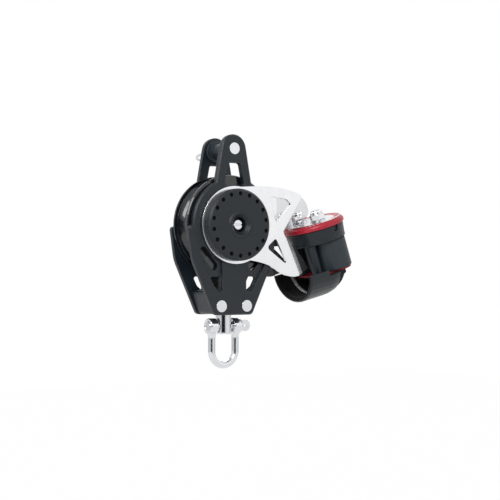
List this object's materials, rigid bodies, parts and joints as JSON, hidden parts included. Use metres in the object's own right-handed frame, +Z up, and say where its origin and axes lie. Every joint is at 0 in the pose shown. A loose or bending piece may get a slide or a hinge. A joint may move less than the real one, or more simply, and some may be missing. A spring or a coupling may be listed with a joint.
{
  "type": "ratchet sailing block with cam cleat",
  "caption": "Ratchet sheave block for rope, with a becket above, a swivelling shackle below and a cam cleat with a scoop fairlead on a hinged side arm.",
  "frame": {"origin": "centre of the sheave", "axes": "+Y along the sheave's axis, +X towards the cleat, +Z up towards the becket"},
  "size_m": [0.1126, 0.0462, 0.1324],
  "materials": {
    "black_composite": "satin moulded glass-filled nylon",
    "gloss_black": "glossy black acetal",
    "stainless": "polished stainless steel",
    "polished_plate": "bright polished stainless sheet",
    "red_polymer": "red moulded plastic",
    "ball_polymer": "white bearing plastic"
  },
  "bodies": {
    "block": {"near_cheek": "black_composite", "far_cheek": "black_composite", "bottom_block": "black_composite", "cheek_rivets": "stainless", "becket_pin": "stainless", "becket_bush": "gloss_black", "split_ring": "stainless", "axle_core": "stainless", "pawl_carrier": "stainless", "near_cap": "black_composite", "far_cap": "black_composite", "centre_screw": "stainless", "axle_nut": "stainless", "pawl_springs": "stainless", "bearing_balls": "ball_polymer"},
    "sheave": {"sheave": "gloss_black", "ratchet_ring": "stainless"},
    "pawl_a": {"pawl_a": "stainless"},
    "pawl_b": {"pawl_b": "stainless"},
    "swivel": {"swivel_post": "stainless"},
    "shackle": {"shackle_bow": "stainless", "shackle_pin": "stainless"},
    "arm": {"cam_arm": "polished_plate", "rim_plate": "red_polymer", "cleat_base": "black_composite", "cam_bushes": "stainless", "cam_springs": "stainless", "cam_plate": "red_polymer", "cleat_bolts": "stainless", "locknuts": "stainless", "washers": "stainless", "fairlead": "black_composite", "wear_strip": "stainless"},
    "cam_near": {"cam_near": "black_composite"},
    "cam_far": {"cam_far": "black_composite"}
  },
  "joints": [
    {"name": "sheave_spin", "type": "hinge", "parent": "block", "child": "sheave", "pos_m": [0, 0, 0], "axis": [0, 1, 0], "continuous": true},
    {"name": "pawl_a_pivot", "type": "hinge", "parent": "block", "child": "pawl_a", "pos_m": [0, -0.006, 0.0132], "axis": [0, 1, 0], "range_deg": [0, 16], "stiffness_Nm_per_rad": 0.002},
    {"name": "pawl_b_pivot", "type": "hinge", "parent": "block", "child": "pawl_b", "pos_m": [0, -0.006, -0.0132], "axis": [0, 1, 0], "range_deg": [0, 16], "stiffness_Nm_per_rad": 0.002},
    {"name": "swivel_turn", "type": "hinge", "parent": "block", "child": "swivel", "pos_m": [0, 0, -0.05], "axis": [0, 0, 1], "continuous": true},
    {"name": "shackle_swing", "type": "hinge", "parent": "swivel", "child": "shackle", "pos_m": [0, 0, -0.057], "axis": [1, 0, 0], "range_deg": [-95, 95]},
    {"name": "arm_tilt", "type": "hinge", "parent": "block", "child": "arm", "pos_m": [0, 0, 0], "axis": [0, -1, 0], "range_deg": [-12, 30]},
    {"name": "cam_near_open", "type": "hinge", "parent": "arm", "child": "cam_near", "pos_m": [0.06781, -0.0091, -0.016], "axis": [0.3256, 0, -0.9455], "range_deg": [0, 35], "stiffness_Nm_per_rad": 0.05},
    {"name": "cam_far_open", "type": "hinge", "parent": "arm", "child": "cam_far", "pos_m": [0.06781, 0.0091, -0.016], "axis": [-0.3256, 0, 0.9455], "range_deg": [0, 35], "stiffness_Nm_per_rad": 0.05}
  ]
}
